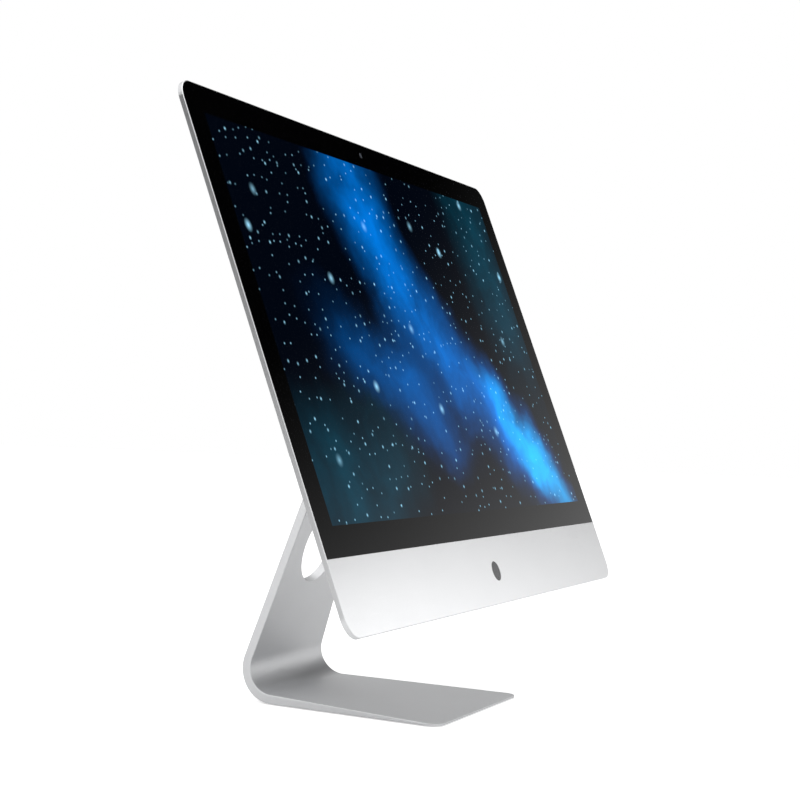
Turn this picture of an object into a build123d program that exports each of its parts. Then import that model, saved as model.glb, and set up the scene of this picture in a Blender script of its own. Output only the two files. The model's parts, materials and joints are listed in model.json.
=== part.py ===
"""All-in-one computer: a slim tilting head on a bent plate stand.

Millimetres, +Z up.  The screen faces -Y and +X is on the viewer's right.
The origin is the centre of the flat foot, on the surface it stands on.
Head pieces are drawn in head coordinates: x across, h up the screen from its
bottom edge, and depth straight back from the front face.
"""
import os
from math import acos, cos, pi, radians, sin, tan
from build123d import *

os.makedirs("parts", exist_ok=True)

# --- stand -------------------------------------------------------------
plate_thickness = 8.2
foot_length = 171.2
foot_front_width = 199.6
foot_front_thickness = 1.8
foot_corner_radius = 12.0
bend_front_width = 155.5
bend_rear_width = 143.6
bend_outer_radius = 31.6
arm_lean = 17.75
arm_length = 288.0
arm_top_width = 84.6
cable_hole_radius = 36.0
cable_hole_up = 104.0
plate_edge_radius = 0.8
pad_thickness = 0.8
pad_inset = 5.0

# --- head --------------------------------------------------------------
rest_tilt = 21.2
head_width = 650.0
head_height = 446.0
head_corner_radius = 17.0
edge_thickness = 4.0
bulge = 46.0
wall = 1.5
rim = 1.0
edge_break = 0.4
ledge = 6.0
ledge_thickness = 1.5
glass_thickness = 1.2
tape_thickness = 0.8
chin_height = 60.3
badge_radius = 9.0
badge_thickness = 0.5
badge_up = 29.0
picture_width = 596.7
picture_height = 335.7
picture_sill = 24.6
panel_margin = 7.0
panel_corner_radius = 2.0
panel_edge_width = 32.0
panel_core_radius = 4.0
panel_thickness = 5.0
camera_window_radius = 2.6
camera_drop = 12.4
camera_board_width = 14.0
camera_board_height = 8.0
camera_board_gap = 1.5
camera_lens_rise = 1.0

# --- hinge -------------------------------------------------------------
hinge_up = 249.2
hinge_depth = 44.0
forward_tilt = 5.0
shaft_radius = 3.5
barrel_radius = 6.5
barrel_half_length = 34.0
lap_length = 24.0
neck_length = 16.0
arm_screw_radius = 2.0
arm_screw_head_radius = 3.7
arm_screw_length = 7.0
arm_screw_drive_depth = 1.2
arm_screw_pitch = 18.0
arm_screw_count = 4
cheek_thickness = 4.0
cheek_radius = 11.0
bush_wall = 2.0
washer_stack = 4.0
nut_radius = 5.8
nut_length = 3.0
hinge_web_depth = 28.0
hinge_web_thickness = 2.5
hinge_web_margin = 6.0
hinge_web_above = 32.0
hinge_screw_gap = 7.5
slot_side_gap = 5.0
slot_top_gap = 13.0
slot_arm_gap = 1.3
liner_wall = 1.2
running_clearance = 0.05

# --- back openings -----------------------------------------------------
seam_gap = 0.4
door_width = 92.0
door_height = 66.0
door_up = 125.0
door_corner_radius = 6.0
inlet_width = 30.0
inlet_height = 22.0
inlet_up = 60.0
inlet_collar = 1.6
inlet_floor = 1.7
pin_width = 2.0
pin_height = 4.0
pin_corner = 0.4
pin_spread = 7.0
pin_drop = 2.0
pin_rise = 3.0
pin_length = 10.0
door_button_width = 13.0
door_button_height = 5.0
door_button_up = 82.0
power_button_radius = 6.0
power_button_x = -272.0
power_button_up = 40.0
power_button_travel = 0.8
switch_size = 7.0
button_flange = 1.2
button_flange_thickness = 1.0
button_play = 0.2
vent_width = 124.0
vent_height = 13.0
vent_up = 176.0
vent_bar = 1.8
vent_bar_count = 25
port_row_up = 92.0
port_recess = 0.4
security_slot_width = 7.0
security_slot_height = 3.0
security_slot_x = -120.0
security_slot_up = 92.0
bottom_slot_length = 17.0
bottom_slot_width = 1.2
bottom_slot_pitch = 22.0
bottom_slot_count = 27
mic_hole_radius = 0.6
mic_x = 22.0

# --- electronics -------------------------------------------------------
board_depth = 8.6
board_thickness = 1.6
board_x = 148.0
board_up = 126.0
board_width = 196.0
board_height = 84.0
boss_radius = 3.2
screw_radius = 1.3
screw_head_radius = 2.5
screw_head_height = 1.0
screw_length = 5.0
hidden_gap = 0.3
fan_hinge_gap = 3.6
fan_up = 228.0
fan_size = 96.0
fan_thickness = 17.0
fan_wall = 1.2
impeller_radius = 40.0
impeller_hub_radius = 15.0
impeller_blades = 23
impeller_height = 12.0
impeller_gap = 1.2
fan_axle_radius = 1.5
drive_width = 69.9
drive_length = 100.0
drive_thickness = 9.5
drive_up = 222.0
bracket_thickness = 1.2
supply_width = 76.0
supply_length = 158.0
supply_thickness = 10.0
supply_drive_gap = 6.0
supply_up = 212.0
module_width = 67.6
module_length = 30.0
module_pitch_depth = 5.4
module_pitch_up = 33.0
module_board = 1.2
chip_thickness = 1.0
stick_length = 60.0
stick_offset = 48.0
stick_drop = 12.0
stick_chip_pitch = 15.0
stick_chip_width = 12.0
stick_chip_height = 16.0
card_width = 22.0
wireless_length = 30.0
wireless_offset = 70.0
wireless_rise = 20.0
shield_length = 22.0
shield_width = 16.0
cell_radius = 10.0
cell_thickness = 3.2
cell_offset = 10.0
cell_drop = 16.0
antenna_length = 48.0
antenna_height = 5.0
antenna_thickness = 0.8
antenna_spacing = 260.0
mic_length = 5.0
mic_height = 3.0
mic_thickness = 1.2
module_chip_pitch = 15.0
module_chip_width = 11.0
cage_wall = 1.2
cage_side = 4.0
cage_end = 1.5
cage_play = 1.0
speaker_x = 128.0
speaker_width = 116.0
speaker_up = 12.0
speaker_height = 40.0
speaker_driver_radius = 12.0
speaker_driver_pitch = 40.0
speaker_driver_depth = 5.0

# --- derived: stand ----------------------------------------------------
bend_angle = 90.0 + arm_lean
bend_mid_radius = bend_outer_radius - plate_thickness / 2
bend_centre = Vector(0, foot_length / 2, pad_thickness + bend_outer_radius)
arm_up = Vector(0, -sin(radians(arm_lean)), cos(radians(arm_lean)))
arm_back = Vector(0, cos(radians(arm_lean)), sin(radians(arm_lean)))
arm_start = bend_centre + arm_back * bend_mid_radius
hinge_point = arm_start + arm_up * arm_length

# --- derived: head -----------------------------------------------------
head_up = Vector(0, sin(radians(rest_tilt)), cos(radians(rest_tilt)))
head_back = Vector(0, cos(radians(rest_tilt)), -sin(radians(rest_tilt)))
head_origin = hinge_point - head_up * hinge_up - head_back * hinge_depth
glass_height = head_height - chin_height - rim
glass_up = chin_height + glass_height / 2
glass_recess = glass_thickness + tape_thickness
ledge_depth = glass_recess + ledge_thickness
opening_half_width = head_width / 2 - rim - ledge
opening_bottom = chin_height + ledge
opening_top = head_height - rim - ledge
picture_up = chin_height + picture_sill + picture_height / 2
camera_up = head_height - camera_drop
board_rear = board_depth + board_thickness
arm_lap = plate_thickness / 2
tongue_centre = neck_length + lap_length / 2
slot_half_width = arm_top_width / 2 + slot_side_gap
slot_top = hinge_up + slot_top_gap
forward_angle = radians(arm_lean - forward_tilt)
slot_reach = edge_thickness + bulge - hinge_depth + arm_lap / cos(forward_angle) + slot_arm_gap
slot_bottom = hinge_up - slot_reach / tan(forward_angle)
hinge_screw_x = slot_half_width + liner_wall + hinge_screw_gap
hinge_web_half_width = hinge_screw_x + hinge_web_margin
washer_end = barrel_half_length + washer_stack
cheek_end = washer_end + cheek_thickness
bush_radius = shaft_radius + running_clearance + bush_wall
nut_start = cheek_end + 0.4
shaft_half_length = nut_start + nut_length


def back_depth(x, h):
    """Depth of the curved back behind the front face."""
    across = cos(pi * x / head_width)
    upward = cos(pi * (h / head_height - 0.5))
    return edge_thickness + bulge * across * upward


def least_depth(x, h, half_width, half_height):
    """Shallowest depth of the curved back over a rectangle centred at x, h."""
    return min(back_depth(x + i * half_width, h + j * half_height) for i in (-1, 1) for j in (-1, 1))


def reach_at(depth, h):
    """How far out from the middle the back is still that deep at a height."""
    upward = cos(pi * (h / head_height - 0.5))
    return head_width / pi * acos((depth - edge_thickness) / (bulge * upward))


def face_at(depth, x=0.0, h=0.0):
    """Plane parallel to the screen, seen from the front, at a depth behind it."""
    origin = head_origin + head_back * depth + head_up * h + Vector(x, 0, 0)
    return Plane(origin=origin, x_dir=(1, 0, 0), z_dir=-head_back)


def side_at(x):
    """Plane seen from +X: across is depth, up is height on the head."""
    return Plane(origin=head_origin + Vector(x, 0, 0), x_dir=head_back, z_dir=(1, 0, 0))


def hinge_plane(x):
    """Plane square to the hinge axis, with up along the arm."""
    return Plane(origin=hinge_point + Vector(x, 0, 0), x_dir=arm_back, z_dir=(1, 0, 0))


def arm_plane(offset, up):
    """Plane of the arm's flat, seen from the front, offset to its back."""
    origin = arm_start + arm_back * offset + arm_up * up
    return Plane(origin=origin, x_dir=(1, 0, 0), z_dir=-arm_back)


def path_plane(angle):
    """Plane square to the stand plate at an angle round its bend."""
    a = radians(angle)
    centre = bend_centre + Vector(0, sin(a), -cos(a)) * bend_mid_radius
    return Plane(origin=centre, x_dir=(1, 0, 0), z_dir=(0, cos(a), sin(a)))


def inside_back(inset):
    """Everything in front of the curved back, moved forward by an inset."""
    columns, rows, reach = 17, 15, 1.12
    grid = []
    for i in range(columns):
        x = head_width * reach * (i / (columns - 1) - 0.5)
        line = []
        for j in range(rows):
            h = head_height * (0.5 + reach * (j / (rows - 1) - 0.5))
            depth = back_depth(x, h) - inset
            line.append(head_origin + head_up * h + head_back * depth + Vector(x, 0, 0))
        grid.append(line)
    skin = Face.make_surface_from_array_of_points(grid, tol=0.01, min_deg=3, max_deg=5)
    return extrude(skin, amount=bulge + 3 * edge_thickness, dir=-head_back)


outer_space = inside_back(0.0)
inner_space = inside_back(wall)
flush_space = inside_back(port_recess)


def save(builder, label):
    """Name a finished piece and write it as its own file."""
    builder.part.label = label
    export_step(builder.part, f"parts/{label}.step")
    print(label, len(builder.part.solids()), round(builder.part.volume, 1))


# ======================================================================
# Stand
# ======================================================================
def arm_width(up):
    return bend_rear_width + (arm_top_width - bend_rear_width) * up / arm_length


bend_sections = 6
arm_end = arm_length - neck_length

with BuildPart() as stand_plate:
    front = Plane(origin=(0, -foot_length / 2, pad_thickness + foot_front_thickness / 2),
                  x_dir=(1, 0, 0), z_dir=(0, 1, 0))
    with BuildSketch(front):
        RectangleRounded(foot_front_width, foot_front_thickness, plate_edge_radius)
    with BuildSketch(path_plane(0)):
        RectangleRounded(bend_front_width, plate_thickness, plate_edge_radius)
    loft(ruled=True)
    with BuildSketch(Plane.XY):
        with BuildLine():
            Polyline((-foot_front_width / 2, -foot_length / 2), (foot_front_width / 2, -foot_length / 2),
                     (bend_front_width / 2, foot_length / 2), (-bend_front_width / 2, foot_length / 2),
                     close=True)
        make_face()
        fillet(vertices().group_by(Axis.Y)[0], foot_corner_radius)
    extrude(amount=plate_thickness * 2, mode=Mode.INTERSECT)
    for k in range(bend_sections + 1):
        part_way = k / bend_sections
        with BuildSketch(path_plane(bend_angle * part_way)):
            RectangleRounded(bend_front_width + (bend_rear_width - bend_front_width) * part_way,
                             plate_thickness, plate_edge_radius)
    loft()
    for up in (0, arm_end):
        with BuildSketch(Plane(origin=arm_start + arm_up * up, x_dir=(1, 0, 0), z_dir=arm_up)):
            RectangleRounded(arm_width(up), plate_thickness, plate_edge_radius)
    loft(ruled=True)
    with BuildSketch(arm_plane(0, cable_hole_up)):
        Circle(cable_hole_radius)
    extrude(amount=plate_thickness, both=True, mode=Mode.SUBTRACT)
    with BuildSketch(arm_plane(0, arm_end - lap_length / 2)):
        Rectangle(arm_top_width + plate_thickness * 2, lap_length)
    extrude(amount=plate_thickness, mode=Mode.SUBTRACT)
    with BuildSketch(arm_plane(-arm_lap, arm_length - tongue_centre)):
        with GridLocations(arm_screw_pitch, 1, arm_screw_count, 1):
            Circle(arm_screw_radius + running_clearance)
    extrude(amount=-arm_screw_length - 2 * running_clearance, mode=Mode.SUBTRACT)
save(stand_plate, "stand_plate")

with BuildPart() as foot_pad:
    with BuildSketch(Plane.XY):
        with BuildLine():
            Polyline((-foot_front_width / 2, -foot_length / 2), (foot_front_width / 2, -foot_length / 2),
                     (bend_front_width / 2, foot_length / 2), (-bend_front_width / 2, foot_length / 2),
                     close=True)
        make_face()
        fillet(vertices(), foot_corner_radius)
        offset(amount=-pad_inset, mode=Mode.REPLACE)
    extrude(amount=pad_thickness)
save(foot_pad, "foot_pad")


# ======================================================================
# Hinge
# ======================================================================
with BuildPart() as hinge_barrel:
    with BuildSketch(hinge_plane(-barrel_half_length)):
        Circle(barrel_radius)
        with Locations((0, -neck_length / 2)):
            Rectangle(plate_thickness, neck_length)
        with Locations((-arm_lap / 2, -tongue_centre)):
            Rectangle(arm_lap, lap_length)
        Circle(shaft_radius + running_clearance, mode=Mode.SUBTRACT)
    extrude(amount=2 * barrel_half_length)
    with Locations(arm_plane(-arm_lap, arm_length - tongue_centre)):
        with GridLocations(arm_screw_pitch, 1, arm_screw_count, 1):
            CounterSinkHole(arm_screw_radius + running_clearance, arm_screw_head_radius, arm_lap * 2)
save(hinge_barrel, "hinge_barrel")

with BuildPart() as hinge_shaft:
    with BuildSketch(hinge_plane(-shaft_half_length)):
        Circle(shaft_radius)
    extrude(amount=2 * shaft_half_length)
    chamfer(hinge_shaft.edges().filter_by(GeomType.CIRCLE), plate_edge_radius / 2)
save(hinge_shaft, "hinge_shaft")

arm_screw_rows = arm_plane(-arm_lap, arm_length - tongue_centre)
with BuildPart() as arm_screws:
    with BuildSketch(arm_screw_rows):
        with GridLocations(arm_screw_pitch, 1, arm_screw_count, 1):
            Circle(arm_screw_head_radius - running_clearance)
    extrude(amount=-(arm_screw_head_radius - arm_screw_radius), taper=45)
    with BuildSketch(arm_screw_rows):
        with GridLocations(arm_screw_pitch, 1, arm_screw_count, 1):
            Circle(arm_screw_radius)
    extrude(amount=-arm_screw_length)
    with BuildSketch(arm_screw_rows):
        with GridLocations(arm_screw_pitch, 1, arm_screw_count, 1):
            RegularPolygon(arm_screw_radius * 0.75, 6)
    extrude(amount=-arm_screw_drive_depth, mode=Mode.SUBTRACT)
save(arm_screws, "arm_screws")

with BuildPart() as hinge_frame:
    web_rear = hinge_web_depth + hinge_web_thickness
    web_height = hinge_web_above + hinge_up - slot_bottom + liner_wall
    web_centre = hinge_up + hinge_web_above - web_height / 2
    with BuildSketch(face_at(hinge_web_depth, 0, web_centre)):
        RectangleRounded(2 * hinge_web_half_width, web_height, door_corner_radius)
    extrude(amount=-hinge_web_thickness)
    for x in (-cheek_end, washer_end):
        with BuildSketch(side_at(x)):
            with Locations((hinge_depth, hinge_up)):
                Circle(cheek_radius)
            with Locations(((hinge_depth + web_rear) / 2, hinge_up)):
                Rectangle(hinge_depth - web_rear, 2 * cheek_radius)
        extrude(amount=cheek_thickness)
    with BuildSketch(side_at(-cheek_end - 1)):
        with Locations((hinge_depth, hinge_up)):
            Circle(bush_radius + running_clearance)
    extrude(amount=2 * cheek_end + 2, mode=Mode.SUBTRACT)
    hinge_screw_rise = web_height / 2 - 2 * boss_radius
    with Locations(face_at(hinge_web_depth, 0, web_centre)):
        with GridLocations(2 * hinge_screw_x, 2 * hinge_screw_rise, 2, 2):
            Hole(screw_radius + running_clearance * 2, depth=hinge_web_thickness)
save(hinge_frame, "hinge_frame")

for side, name in ((-1, "left"), (1, "right")):
    inner = side * washer_end
    with BuildPart() as hinge_bush:
        with BuildSketch(hinge_plane(inner)):
            Circle(bush_radius)
            Circle(shaft_radius + running_clearance, mode=Mode.SUBTRACT)
        extrude(amount=side * cheek_thickness)
    save(hinge_bush, f"hinge_bush_{name}")

    with BuildPart() as spring_washers:
        for k in range(4):
            start = side * (barrel_half_length + 0.1 + k * (washer_stack - 0.2) / 4)
            with BuildSketch(hinge_plane(start)):
                Circle(barrel_radius - 0.5)
                Circle(shaft_radius + 2 * running_clearance, mode=Mode.SUBTRACT)
            extrude(amount=side * (washer_stack - 0.2) / 4 * 0.9)
    save(spring_washers, f"spring_washers_{name}")

    with BuildPart() as shaft_nut:
        with BuildSketch(hinge_plane(side * nut_start)):
            RegularPolygon(nut_radius, 6)
            Circle(shaft_radius + running_clearance, mode=Mode.SUBTRACT)
        extrude(amount=side * (nut_length - plate_edge_radius))
    save(shaft_nut, f"shaft_nut_{name}")

with BuildPart() as slot_liner:
    liner_half = slot_half_width + liner_wall
    liner_height = slot_top - slot_bottom
    liner_up = (slot_top + slot_bottom) / 2
    with BuildSketch(face_at(web_rear, 0, liner_up)):
        RectangleRounded(2 * liner_half, liner_height + 2 * liner_wall, door_corner_radius)
        RectangleRounded(2 * slot_half_width, liner_height, door_corner_radius - liner_wall,
                         mode=Mode.SUBTRACT)
    extrude(amount=-2 * bulge)
    add(flush_space, mode=Mode.INTERSECT)
save(slot_liner, "slot_liner")


# ======================================================================
# Rear housing
# ======================================================================
inlet_clear = (inlet_width + 2 * seam_gap, inlet_height + 2 * seam_gap)
ports = [
    ("network_port", 1, 16.0, 13.6, 0.6),
    ("data_ports", 2, 8.2, 5.4, 1.0),
    ("usb_ports", 4, 13.6, 6.2, 0.8),
    ("card_slot", 1, 25.0, 3.4, 0.6),
    ("headphone_jack", 1, 7.0, 7.0, 3.4),
]
port_start = 64.0
port_gap = 5.4


def port_positions():
    """Each port group with the x of each of its sockets, from the middle out."""
    x = port_start
    placed = []
    for label, count, width, height, corner in ports:
        centres = []
        for _ in range(count):
            centres.append(x + width / 2)
            x += width + port_gap
        placed.append((label, centres, width, height, corner))
    return placed


with BuildPart() as cavity:
    cavity_height = opening_top - edge_thickness
    with BuildSketch(face_at(wall, 0, edge_thickness + cavity_height / 2)):
        RectangleRounded(2 * opening_half_width, cavity_height, head_corner_radius - ledge)
    extrude(amount=-2 * bulge)
    add(inner_space, mode=Mode.INTERSECT)

board_boss_x = board_width / 2 - 2 * boss_radius
board_boss_up = board_height / 2 - 2 * boss_radius
supply_skin = board_depth + supply_thickness + wall + hidden_gap
supply_half = supply_length / 2
supply_reach = min(reach_at(supply_skin, supply_up + end * supply_half) for end in (-1, 1))
supply_x = supply_width / 2 - supply_reach
drive_x = supply_x + supply_width / 2 + supply_drive_gap + drive_width / 2
supply_tab = 2 * boss_radius
supply_boss_up = supply_length / 2 + supply_tab / 2
fan_tab = fan_size / 2 + boss_radius
fan_x = hinge_web_half_width + fan_hinge_gap + boss_radius + fan_tab
drive_tab = drive_length / 2 + bracket_thickness + boss_radius + 2 * seam_gap
boss_groups = [
    (board_rear, board_x, board_up, 2 * board_boss_x, 2 * board_boss_up, 2, 2),
    (board_rear, supply_x, supply_up, 2 * boss_radius * 4, 2 * supply_boss_up, 2, 2),
    (board_rear, fan_x, fan_up, 2 * fan_tab, fan_size * 0.6, 2, 2),
    (board_rear, drive_x, drive_up, drive_width * 0.6, 2 * drive_tab, 2, 2),
    (web_rear, 0, web_centre, 2 * hinge_screw_x, 2 * hinge_screw_rise, 2, 2),
]

with BuildPart() as bosses:
    for depth, x, h, gap_x, gap_h, count_x, count_h in boss_groups:
        with BuildSketch(face_at(depth, x, h)):
            with GridLocations(gap_x, gap_h, count_x, count_h):
                Circle(boss_radius)
                Circle(screw_radius + running_clearance, mode=Mode.SUBTRACT)
        extrude(amount=-2 * bulge)

with BuildPart() as rear_housing:
    with BuildSketch(face_at(0, 0, head_height / 2)):
        RectangleRounded(head_width, head_height, head_corner_radius)
    extrude(amount=-2 * bulge)
    front_face = rear_housing.faces().sort_by(Axis(head_origin, head_back))[0]
    chamfer(front_face.edges(), edge_break)
    add(cavity.part, mode=Mode.SUBTRACT)
    # shelf that carries the bottom edge of the glass
    with BuildSketch(face_at(0, 0, chin_height + ledge / 2 - wall)):
        Rectangle(2 * opening_half_width + 1, ledge + 2 * wall)
    extrude(amount=-ledge_depth)
    # seat for the glass, then the window behind it
    with BuildSketch(face_at(0, 0, glass_up)):
        RectangleRounded(head_width - 2 * rim, glass_height, head_corner_radius - rim)
        with Locations((0, -glass_height / 4)):
            Rectangle(head_width - 2 * rim, glass_height / 2)
    extrude(amount=-glass_recess, mode=Mode.SUBTRACT)
    with BuildSketch(face_at(0, 0, (opening_top + opening_bottom) / 2)):
        RectangleRounded(2 * opening_half_width, opening_top - opening_bottom,
                         head_corner_radius - rim - ledge)
    extrude(amount=-ledge_depth, mode=Mode.SUBTRACT)
    # screw bosses stand on the back wall, then the back takes its curve
    add(bosses.part)
    add(outer_space, mode=Mode.INTERSECT)
    # opening for the arm and hinge
    with BuildSketch(face_at(hinge_web_depth, 0, liner_up)):
        RectangleRounded(2 * liner_half, liner_height + 2 * liner_wall, door_corner_radius)
    extrude(amount=-2 * bulge, mode=Mode.SUBTRACT)
    # openings through the back: door, power inlet, vent, security slot
    with BuildSketch(face_at(board_depth, 0, door_up)):
        RectangleRounded(door_width + 2 * seam_gap, door_height + 2 * seam_gap,
                         door_corner_radius + seam_gap)
    extrude(amount=-2 * bulge, mode=Mode.SUBTRACT)
    with BuildSketch(face_at(board_depth, 0, inlet_up)):
        RectangleRounded(*inlet_clear, inlet_height / 4)
    extrude(amount=-2 * bulge, mode=Mode.SUBTRACT)
    with BuildSketch(face_at(board_depth, 0, vent_up)):
        RectangleRounded(vent_width, vent_height, vent_height / 2.1)
    extrude(amount=-2 * bulge, mode=Mode.SUBTRACT)
    with BuildSketch(face_at(board_depth, security_slot_x, security_slot_up)):
        SlotOverall(security_slot_width, security_slot_height)
    extrude(amount=-2 * bulge, mode=Mode.SUBTRACT)
    with BuildSketch(face_at(board_depth, 0, door_button_up)):
        SlotOverall(door_button_width + seam_gap, door_button_height + seam_gap)
    extrude(amount=-2 * bulge, mode=Mode.SUBTRACT)
    with BuildSketch(face_at(glass_recess, power_button_x, power_button_up)):
        Circle(power_button_radius + seam_gap / 2)
    extrude(amount=-2 * bulge, mode=Mode.SUBTRACT)
    # sockets along the port row
    for label, centres, width, height, corner in port_positions():
        with BuildSketch(face_at(board_rear, 0, port_row_up)):
            for x in centres:
                with Locations((x, 0)):
                    RectangleRounded(width + seam_gap, height + seam_gap, corner)
        extrude(amount=-2 * bulge, mode=Mode.SUBTRACT)
    # air and sound slots in the bottom edge
    slot_row = Plane(origin=head_origin + head_back * edge_thickness / 2, x_dir=(1, 0, 0), z_dir=-head_up)
    with BuildSketch(slot_row):
        with GridLocations(bottom_slot_pitch, 1, bottom_slot_count, 1):
            SlotOverall(bottom_slot_length, bottom_slot_width)
    extrude(amount=edge_thickness + wall, both=True, mode=Mode.SUBTRACT)
    # pocket for the chin badge and the microphone hole in the top edge
    with BuildSketch(face_at(0, 0, badge_up)):
        Circle(badge_radius)
    extrude(amount=-badge_thickness, mode=Mode.SUBTRACT)
    top_row = Plane(origin=head_origin + head_up * head_height + head_back * edge_thickness / 1.8,
                    x_dir=(1, 0, 0), z_dir=head_up)
    with BuildSketch(top_row):
        with Locations((mic_x, 0)):
            Circle(mic_hole_radius)
    extrude(amount=-ledge - 2, mode=Mode.SUBTRACT)
save(rear_housing, "rear_housing")


# ======================================================================
# Front
# ======================================================================
with BuildPart() as front_glass:
    with BuildSketch(face_at(0, 0, glass_up)):
        RectangleRounded(head_width - 2 * rim - 2 * running_clearance, glass_height - 2 * running_clearance,
                         head_corner_radius - rim)
        with Locations((0, -glass_height / 4)):
            Rectangle(head_width - 2 * rim - 2 * running_clearance, glass_height / 2 - 2 * running_clearance)
    extrude(amount=-glass_thickness)
    with Locations(face_at(0, 0, camera_up)):
        Hole(camera_window_radius, depth=glass_thickness)
save(front_glass, "front_glass")

with BuildPart() as camera_window:
    with BuildSketch(face_at(0, 0, camera_up)):
        Circle(camera_window_radius - running_clearance)
    extrude(amount=-glass_thickness)
save(camera_window, "camera_window")

with BuildPart() as camera_module:
    camera_room = least_depth(0, camera_up, camera_board_width / 2, camera_board_height / 2) - wall
    camera_rear = camera_room - hidden_gap
    camera_front = glass_thickness + camera_board_gap
    with BuildSketch(face_at(camera_rear, 0, camera_up)):
        RectangleRounded(camera_board_width, camera_board_height, 1)
    extrude(amount=camera_rear - camera_front)
    with BuildSketch(face_at(camera_front, 0, camera_up)):
        Circle(camera_window_radius - hidden_gap)
    extrude(amount=camera_lens_rise)
save(camera_module, "camera_module")

with BuildPart() as tape_frame:
    tape_margin = ledge / 4
    with BuildSketch(face_at(glass_thickness, 0, glass_up)):
        RectangleRounded(head_width - 2 * rim - 2 * tape_margin, glass_height - 2 * tape_margin,
                         head_corner_radius - rim - tape_margin)
        with Locations((0, (opening_top + opening_bottom) / 2 - glass_up)):
            RectangleRounded(2 * opening_half_width, opening_top - opening_bottom,
                             head_corner_radius - rim - ledge, mode=Mode.SUBTRACT)
    extrude(amount=-tape_thickness)
save(tape_frame, "tape_frame")

with BuildPart() as display_panel:
    panel_half_width = picture_width / 2 + panel_margin
    panel_half_height = picture_height / 2 + panel_margin
    panel_room = least_depth(0, picture_up, panel_half_width, panel_half_height) - wall
    with BuildSketch(face_at(glass_thickness, 0, picture_up)):
        RectangleRounded(2 * panel_half_width, 2 * panel_half_height, panel_corner_radius)
    extrude(amount=glass_thickness + hidden_gap - panel_room)
    core_half_width = panel_half_width - panel_edge_width
    core_half_height = panel_half_height - panel_edge_width
    core_room = least_depth(0, picture_up, core_half_width, core_half_height) - wall
    with BuildSketch(face_at(glass_thickness, 0, picture_up)):
        RectangleRounded(2 * core_half_width, 2 * core_half_height, panel_core_radius)
    extrude(amount=-min(panel_thickness, core_room - hidden_gap - glass_thickness))
save(display_panel, "display_panel")

with BuildPart() as chin_badge:
    with BuildSketch(face_at(0, 0, badge_up)):
        Circle(badge_radius - running_clearance)
    extrude(amount=-badge_thickness)
save(chin_badge, "chin_badge")


# ======================================================================
# Back: door, buttons, inlet, sockets, vent
# ======================================================================
with BuildPart() as memory_door:
    with BuildSketch(face_at(board_depth, 0, door_up)):
        RectangleRounded(door_width, door_height, door_corner_radius)
    extrude(amount=-2 * bulge)
    add(outer_space, mode=Mode.INTERSECT)
    add(inner_space, mode=Mode.SUBTRACT)
save(memory_door, "memory_door")

flange_half_width = door_button_width / 2 + button_flange
flange_half_height = door_button_height / 2 + button_flange
with BuildPart() as door_button:
    button_room = least_depth(0, door_button_up, flange_half_width, flange_half_height) - wall
    door_shoulder = button_room - button_play
    with BuildSketch(face_at(door_shoulder, 0, door_button_up)):
        SlotOverall(2 * flange_half_width, 2 * flange_half_height)
    extrude(amount=button_flange_thickness)
    with BuildSketch(face_at(door_shoulder, 0, door_button_up)):
        SlotOverall(door_button_width, door_button_height)
    extrude(amount=-2 * bulge)
    add(flush_space, mode=Mode.INTERSECT)
save(door_button, "door_button")

power_rear = back_depth(power_button_x, power_button_up)
flange_radius = power_button_radius + button_flange
with BuildPart() as power_button:
    power_room = least_depth(power_button_x, power_button_up, flange_radius, flange_radius) - wall
    power_shoulder = power_room - button_play
    with BuildSketch(face_at(power_shoulder, power_button_x, power_button_up)):
        Circle(flange_radius)
    extrude(amount=button_flange_thickness)
    with BuildSketch(face_at(power_shoulder, power_button_x, power_button_up)):
        Circle(power_button_radius)
    extrude(amount=-(power_rear - power_shoulder))
    fillet(power_button.faces().sort_by(Axis(head_origin, head_back))[-1].edges(), plate_edge_radius / 2)
save(power_button, "power_button")

with BuildPart() as power_inlet:
    with BuildSketch(face_at(ledge_depth + seam_gap, 0, inlet_up)):
        RectangleRounded(inlet_width, inlet_height, inlet_height / 4)
    extrude(amount=-2 * bulge)
    add(flush_space, mode=Mode.INTERSECT)
    pocket_floor = ledge_depth + seam_gap + inlet_floor
    with BuildSketch(face_at(pocket_floor, 0, inlet_up)):
        RectangleRounded(inlet_width - 2 * inlet_collar, inlet_height - 2 * inlet_collar, inlet_height / 5)
    extrude(amount=-2 * bulge, mode=Mode.SUBTRACT)
save(power_inlet, "power_inlet")

with BuildPart() as inlet_pins:
    for x, h in ((-pin_spread, -pin_drop), (pin_spread, -pin_drop), (0, pin_rise)):
        with BuildSketch(face_at(pocket_floor, x, inlet_up + h)):
            RectangleRounded(pin_width, pin_height, pin_corner)
        extrude(amount=-pin_length)
save(inlet_pins, "inlet_pins")

with BuildPart() as vent_grille:
    with BuildSketch(face_at(board_depth * 3, 0, vent_up)):
        RectangleRounded(vent_width - seam_gap, vent_height - seam_gap, vent_height / 2.2)
        with GridLocations((vent_width - vent_height) / (vent_bar_count - 1), 1, vent_bar_count - 1, 1):
            Rectangle((vent_width - vent_height) / (vent_bar_count - 1) - vent_bar,
                      vent_height - 3 * vent_bar,
                      mode=Mode.SUBTRACT)
    extrude(amount=-2 * bulge)
    add(flush_space, mode=Mode.INTERSECT)
    vent_floor = back_depth(0, vent_up) - 3 * vent_bar
    with BuildSketch(face_at(vent_floor, 0, vent_up)):
        Rectangle(2 * vent_width, 2 * vent_height)
    extrude(amount=2 * bulge, mode=Mode.SUBTRACT)
save(vent_grille, "vent_grille")

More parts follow.
